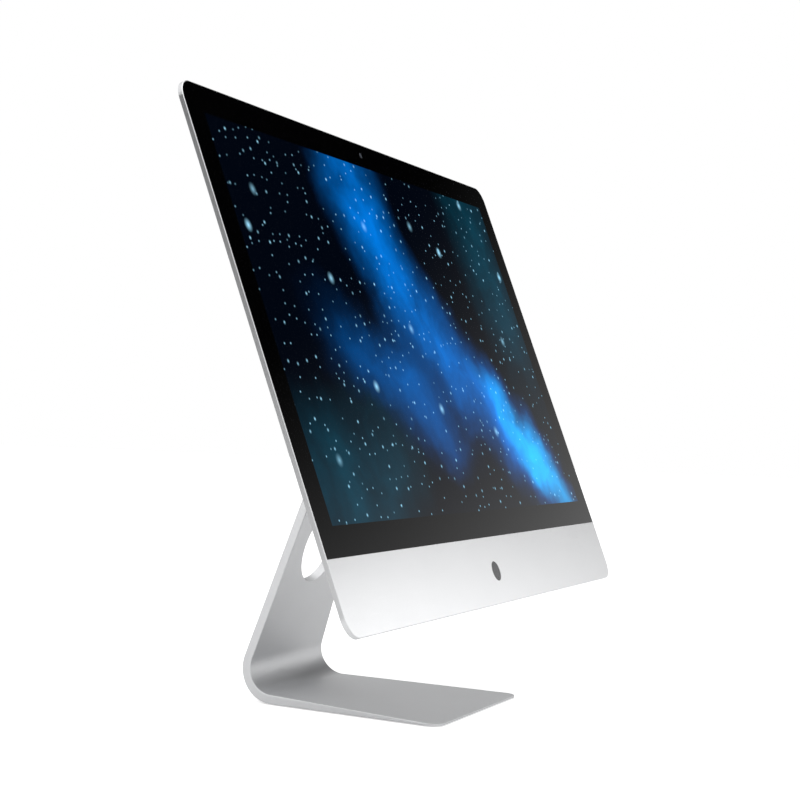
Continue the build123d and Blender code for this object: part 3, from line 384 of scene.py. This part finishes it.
def cover_glass(name, finishes, picture):
    """Polished glass, black behind its border, with a night sky picture lit under its middle."""
    low, high = along("display_panel", head_up)
    left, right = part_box("display_panel")
    middle = (low + high) / 2
    half_height = (high - low) / 2 - picture.border
    half_width = (right.x - left.x) / 2 - picture.border
    material, tree, shader = shaded(name, IOR=1.52, Metallic=0.0, Specular_IOR_Level=0.5)
    place = screen_place(tree, middle)
    scaled = add(tree, "ShaderNodeVectorMath", {0: place, "Scale": 1 / half_height}, operation="SCALE")
    unit = scaled.outputs["Vector"]
    bend = add(tree, "ShaderNodeTexNoise", {"Vector": unit, "Scale": 1.6, "Detail": 4.0,
                                            "Roughness": 0.55})
    centred = add(tree, "ShaderNodeVectorMath", {0: bend.outputs["Color"], 1: (0.5, 0.5, 0.5)},
                  operation="SUBTRACT")
    drift = add(tree, "ShaderNodeVectorMath", {0: centred.outputs["Vector"], "Scale": 0.55},
                operation="SCALE")
    warped = add(tree, "ShaderNodeVectorMath", {0: unit, 1: drift.outputs["Vector"]}, operation="ADD")
    sky = warped.outputs["Vector"]
    total = add(tree, "ShaderNodeCombineXYZ", {0: picture.night_colour[0], 1: picture.night_colour[1],
                                               2: picture.night_colour[2]}).outputs[0]
    wisps = ranged(tree, noise(tree, sky, 2.2, 4.0, 0.55), 0.45, 1.3)
    for centre, size, turn, softness, colour in (  # turn in degrees
        ((-0.25, 0.75), (0.55, 1.3), 14, 1.3, picture.cloud_colour),
        ((0.35, -0.10), (1.5, 0.50), -40, 1.2, picture.cloud_colour),
        ((1.15, -0.62), (1.2, 0.34), -42, 1.2, picture.cloud_colour),
        ((1.25, -0.70), (0.95, 0.22), -44, 1.0, picture.streak_colour),
        ((-0.45, -0.30), (1.2, 0.45), -24, 1.4, tuple(c * 0.55 for c in picture.cloud_colour)),
        ((-1.45, -0.80), (1.2, 0.60), 10, 1.0, picture.haze_colour),
        ((1.45, 0.55), (0.6, 1.2), 8, 1.0, picture.haze_colour),
    ):
        amount = mathed(tree, "MULTIPLY", cloud(tree, sky, centre, size, turn, softness), wisps)
        total = summed(tree, total, amount, colour)
    total = summed(tree, total,
                   stars(tree, unit, scale=9.0, radius=0.013, kept=0.40, seed=0.3),
                   picture.star_colour)
    total = summed(tree, total,
                   stars(tree, unit, scale=13.0, radius=0.008, kept=0.45, seed=7.1),
                   picture.star_colour)
    total = summed(tree, total,
                   stars(tree, unit, scale=1.5, radius=0.040, kept=0.7, seed=3.7),
                   picture.star_colour)
    apart = add(tree, "ShaderNodeSeparateXYZ", {0: place})
    lit = mathed(tree, "MULTIPLY", inside(tree, apart.outputs[0], half_width, PICTURE_FADE),
                 inside(tree, apart.outputs[1], half_height, PICTURE_FADE))
    front_face = -along("front_glass", head_back)[0] - FRONT_FACE_DEPTH
    lit = mathed(tree, "MULTIPLY", lit, mathed(tree, "GREATER_THAN", apart.outputs[2], front_face))
    shown = add(tree, "ShaderNodeVectorMath", {0: total, "Scale": lit}, operation="SCALE")
    tree.links.new(shown.outputs["Vector"], shader.inputs["Emission Color"])
    shader.inputs["Emission Strength"].default_value = picture.brightness
    smudges = noise(tree, place_on(tree), 14.0, 5.0, 0.65)
    rough = finishes.glass_roughness
    tree.links.new(ranged(tree, smudges, rough - 0.015, rough + 0.02), shader.inputs["Roughness"])
    backing = tuple(c * BACKING_SHARE for c in slot_colour["front_glass"])
    tree.links.new(varied(tree, backing, smudges, 0.3), shader.inputs["Base Color"])
    return material


# ----------------------------------------------------------------------
# Pieces
# ----------------------------------------------------------------------
def paint(piece, material):
    piece.data.materials.clear()
    piece.data.materials.append(material)


def dress(names, material):
    """Gives CAD pieces a material, with smooth shading left as it is."""
    for name in names:
        paint(frame["nodes"][name], material)


def refined(node, name, material, sharp=28.0, bevel=0.0):
    """A welded, smooth-shaded copy of a CAD piece that stands for it, with its corners eased when a bevel
    is given.
    """
    shape = bmesh.new()
    shape.from_mesh(frame["nodes"][node].data)
    bmesh.ops.remove_doubles(shape, verts=shape.verts, dist=WELD)
    bmesh.ops.dissolve_limit(shape, angle_limit=radians(0.05), verts=shape.verts, edges=shape.edges)
    if bevel:
        corners = [e for e in shape.edges if e.is_manifold and e.calc_face_angle(0) > radians(sharp)]
        bmesh.ops.bevel(shape, geom=corners, offset=bevel, offset_type="OFFSET", affect="EDGES",
                        segments=CORNER_STEPS, profile=0.5, material=-1, clamp_overlap=True)
    mesh = bpy.data.meshes.new(name)
    shape.to_mesh(mesh)
    shape.free()
    mesh.shade_smooth()
    mesh.set_sharp_from_angle(angle=radians(sharp))
    piece = bpy.data.objects.new(name, mesh)
    bpy.context.scene.collection.objects.link(piece)
    even = piece.modifiers.new("even_shading", "WEIGHTED_NORMAL")
    even.keep_sharp = True
    paint(piece, material)
    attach(piece, body_of[node])
    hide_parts(node)
    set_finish(piece, slot_of[node])
    return piece


class COMPUTER_OT_stand(bpy.types.Operator):
    """Finishes the bent plate stand and its rubber foot"""

    bl_idname = "computer.finish_stand"
    bl_label = "Stand"

    def execute(self, context):
        settings = context.scene.computer_finishes
        metal = blasted_aluminium("stand_aluminium", tuple(settings.stand_colour),
                                  settings.stand_roughness, settings.grain_size)
        refined("stand_plate", "stand_sheet", metal, sharp=30.0)
        dress(["foot_pad"], moulded("pad_rubber", slot_colour["pad_rubber"], 0.75, 900.0, 0.0001, 0.1))
        return {"FINISHED"}


class COMPUTER_OT_hinge(bpy.types.Operator):
    """Finishes the hinge: barrel, shaft, washers, bushes, nuts, frame and screws"""

    bl_idname = "computer.finish_hinge"
    bl_label = "Hinge"

    def execute(self, context):
        steel = plated_metal("hinge_steel", slot_colour["hinge_steel"], 0.34, (0.05, 1, 1))
        black = plated_metal("black_steel", slot_colour["black_steel"], 0.5)
        brass = plated_metal("bush_brass", slot_colour["bush_brass"], 0.3)
        screw = plated_metal("screws", slot_colour["screws"], 0.28)
        for node, slot in slot_of.items():
            if slot == "hinge_steel":
                refined(node, node + "_turned", steel)
            elif slot == "black_steel":
                refined(node, node + "_coated", black)
            elif slot == "bush_brass":
                refined(node, node + "_turned", brass)
            elif slot == "screws":
                refined(node, node + "_fitted", screw)
        return {"FINISHED"}


class COMPUTER_OT_housing(bpy.types.Operator):
    """Finishes the domed metal housing, its access door and its power button"""

    bl_idname = "computer.finish_housing"
    bl_label = "Housing"

    def execute(self, context):
        settings = context.scene.computer_finishes
        metal = blasted_aluminium("housing_aluminium", tuple(settings.housing_colour),
                                  settings.housing_roughness, settings.grain_size)
        refined("rear_housing", "housing_shell", metal, sharp=24.0)
        for node, slot in slot_of.items():
            if slot == "housing_aluminium" and node != "rear_housing":
                refined(node, node + "_shell", metal, sharp=24.0)
        disc = turned_disc("badge", tuple(settings.badge_colour),
                           (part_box("chin_badge")[0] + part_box("chin_badge")[1]) / 2)
        refined("chin_badge", "chin_disc", disc, bevel=0.0002)
        return {"FINISHED"}


class COMPUTER_OT_front(bpy.types.Operator):
    """Finishes the cover glass with its lit picture, and the camera behind it"""

    bl_idname = "computer.finish_front"
    bl_label = "Front glass and picture"

    def execute(self, context):
        scene = context.scene
        glass = cover_glass("cover_glass", scene.computer_finishes, scene.computer_picture)
        refined("front_glass", "glass_sheet", glass, bevel=0.0003)
        window = dark_window("clear_glass", WINDOW_COLOUR)
        refined("camera_window", "camera_lens", window, bevel=0.0002)
        dress([n for n, s in slot_of.items() if s == "panel_metal"],
              plated_metal("panel_metal", slot_colour["panel_metal"], 0.42, (0.03, 1, 1), 500.0))
        dress([n for n, s in slot_of.items() if s == "adhesive"],
              moulded("adhesive", slot_colour["adhesive"], 0.8, 700.0, 0.0001))
        return {"FINISHED"}


class COMPUTER_OT_sockets(bpy.types.Operator):
    """Finishes the sockets, grille, liner and plastic parts"""

    bl_idname = "computer.finish_sockets"
    bl_label = "Sockets and plastics"

    def execute(self, context):
        dark = moulded("black_plastic", slot_colour["black_plastic"], 0.45)
        grey = moulded("grey_plastic", slot_colour["grey_plastic"], 0.5)
        steel = plated_metal("socket_metal", slot_colour["socket_metal"], 0.3, (1, 1, 0.05), 1500.0)
        for node, slot in slot_of.items():
            if slot == "black_plastic":
                refined(node, node + "_moulded", dark)
            elif slot == "grey_plastic":
                refined(node, node + "_moulded", grey)
            elif slot == "socket_metal":
                refined(node, node + "_folded", steel)
        return {"FINISHED"}


class COMPUTER_OT_electronics(bpy.types.Operator):
    """Finishes the boards, chips, copper and drives inside the housing"""

    bl_idname = "computer.finish_electronics"
    bl_label = "Electronics"

    def execute(self, context):
        made = {
            "circuit_board": printed_board("circuit_board", slot_colour["circuit_board"]),
            "chips": moulded("chips", slot_colour["chips"], 0.4, 2500.0, 0.00002),
            "copper": plated_metal("copper", slot_colour["copper"], 0.32),
            "drive_metal": plated_metal("drive_metal", slot_colour["drive_metal"], 0.45),
        }
        for node, slot in slot_of.items():
            if slot in made:
                paint(frame["nodes"][node], made[slot])
        return {"FINISHED"}


# ----------------------------------------------------------------------
# Studio
# ----------------------------------------------------------------------
def soft_light(name, place, aim, size, power):
    """A rectangular area lamp that faces a point."""
    lamp = bpy.data.lights.new(name, "AREA")
    lamp.shape = "RECTANGLE"
    lamp.size, lamp.size_y = size
    lamp.energy = power
    holder = bpy.data.objects.new(name, lamp)
    holder.location = place
    holder.rotation_mode = "QUATERNION"
    holder.rotation_quaternion = (Vector(aim) - Vector(place)).to_track_quat("-Z", "Y")
    holder.visible_camera = False
    bpy.context.scene.collection.objects.link(holder)
    return holder


def lit_together(name, chosen):
    """The pieces that one lamp lights and others do not, as a collection."""
    group = bpy.data.collections.new(name)
    for piece in bpy.context.scene.objects:
        if chosen(piece):
            group.objects.link(piece)
    return group


def dimmed(tree, where, light, toward, near, far, least):
    """Light that falls to a least share within near degrees of a direction."""
    facing = add(tree, "ShaderNodeVectorMath", {0: where, 1: Vector(toward).normalized()},
                 operation="DOT_PRODUCT")
    share = add(tree, "ShaderNodeMapRange", {"Value": facing.outputs["Value"],
                                             "From Min": cos(radians(far)), "From Max": cos(radians(near)),
                                             "To Min": 1.0, "To Max": least},
                interpolation_type="SMOOTHSTEP")
    return mathed(tree, "MULTIPLY", share.outputs["Result"], light)


class COMPUTER_OT_stage(bpy.types.Operator):
    """Makes the floor, the soft light and the camera"""

    bl_idname = "computer.make_stage"
    bl_label = "Studio and camera"

    def execute(self, context):
        scene = context.scene
        settings = scene.computer_studio
        shape = bmesh.new()
        bmesh.ops.create_grid(shape, x_segments=8, y_segments=8, size=8.0)
        mesh = bpy.data.meshes.new("floor")
        shape.to_mesh(mesh)
        shape.free()
        floor = bpy.data.objects.new("floor", mesh)
        material, tree, shader = shaded("floor_paper", Roughness=1.0, Specular_IOR_Level=0.0)
        paper = noise(tree, place_on(tree), 3.0)
        seen = add(tree, "ShaderNodeLightPath")
        tree.links.new(mathed(tree, "MULTIPLY", seen.outputs["Is Camera Ray"], FLOOR_GLOW),
                       shader.inputs["Emission Strength"])
        shader.inputs["Emission Color"].default_value = WHITE
        tree.links.new(varied(tree, tuple(settings.floor_colour), paper, 0.01), shader.inputs["Base Color"])
        paint(floor, material)
        scene.collection.objects.link(floor)

        world = bpy.data.worlds.new("studio")
        world.use_nodes = True
        tree = world.node_tree
        tree.nodes.clear()
        where = add(tree, "ShaderNodeTexCoord").outputs["Generated"]
        even = settings.daylight
        for toward, near, far, least in DIM_PARTS:
            even = dimmed(tree, where, even, toward, near, far, least)
        around = add(tree, "ShaderNodeBackground", {"Color": WHITE, "Strength": even})
        behind = add(tree, "ShaderNodeBackground", {"Color": WHITE, "Strength": 1.0})
        seen = add(tree, "ShaderNodeLightPath")
        pick = add(tree, "ShaderNodeMixShader", {0: seen.outputs["Is Camera Ray"],
                                                 1: around.outputs[0], 2: behind.outputs[0]})
        add(tree, "ShaderNodeOutputWorld", {"Surface": pick.outputs[0]})
        scene.world = world

        soft_light("overhead", (0.0, -0.3, 2.2), (0, 0, 0), (2.6, 2.6), 14)
        stand = lit_together("stand_lit", lambda piece: piece.get("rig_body") == "stand")
        metal = lit_together("metal_lit", lambda piece: piece.get("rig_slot") == "housing_aluminium")
        left = soft_light("stand_side", (-1.0, 0.5, 0.45), (-0.05, 0.05, 0.2), (0.5, 0.7), 1.5)
        left.light_linking.receiver_collection = stand
        right = soft_light("chin_fill", (1.5, -1.15, 0.45), (0, -0.1, 0.15), (1.0, 0.5), 2.0)
        right.light_linking.receiver_collection = metal

        camera = bpy.data.objects.new("camera", bpy.data.cameras.new("camera"))
        camera.data.lens = settings.camera_lens
        camera.data.sensor_width = SENSOR_WIDTH
        camera.data.shift_x = settings.shift_across
        camera.data.shift_y = settings.shift_up
        camera.location = settings.camera_place
        camera.rotation_mode = "QUATERNION"
        around_z = Quaternion((0, 0, 1), settings.camera_azimuth)
        upward = Quaternion((1, 0, 0), radians(90) - settings.camera_elevation)
        rolled = Quaternion((0, 0, 1), settings.camera_roll)
        camera.rotation_quaternion = around_z @ upward @ rolled
        scene.collection.objects.link(camera)
        scene.camera = camera
        scene.view_settings.view_transform = "Standard"
        return {"FINISHED"}


class COMPUTER_PT_panel(bpy.types.Panel):
    """Lists the computer's settings and steps"""

    bl_idname = "COMPUTER_PT_panel"
    bl_label = "All in one computer"
    bl_space_type = "VIEW_3D"
    bl_region_type = "UI"
    bl_category = "Computer"

    def draw(self, context):
        column = self.layout.column()
        for group in (context.scene.computer_finishes, context.scene.computer_picture,
                      context.scene.computer_studio):
            for name in type(group).__annotations__:
                column.prop(group, name)
        for step in STEPS:
            column.operator(step.bl_idname)


STEPS = (COMPUTER_OT_stand, COMPUTER_OT_hinge, COMPUTER_OT_housing, COMPUTER_OT_front,
         COMPUTER_OT_sockets, COMPUTER_OT_electronics, COMPUTER_OT_stage)
GROUPS = (("computer_finishes", ComputerFinishes), ("computer_picture", ComputerPicture),
          ("computer_studio", ComputerStudio))


def register():
    for name, group in GROUPS:
        bpy.utils.register_class(group)
        setattr(bpy.types.Scene, name, PointerProperty(type=group))
    for step in STEPS:
        bpy.utils.register_class(step)
    bpy.utils.register_class(COMPUTER_PT_panel)


def unregister():
    bpy.utils.unregister_class(COMPUTER_PT_panel)
    for step in reversed(STEPS):
        bpy.utils.unregister_class(step)
    for name, group in reversed(GROUPS):
        delattr(bpy.types.Scene, name)
        bpy.utils.unregister_class(group)


def main():
    register()
    bpy.ops.computer.finish_stand()
    bpy.ops.computer.finish_hinge()
    bpy.ops.computer.finish_housing()
    bpy.ops.computer.finish_front()
    bpy.ops.computer.finish_sockets()
    bpy.ops.computer.finish_electronics()
    bpy.ops.computer.make_stage()


if __name__ == "__main__":
    main()
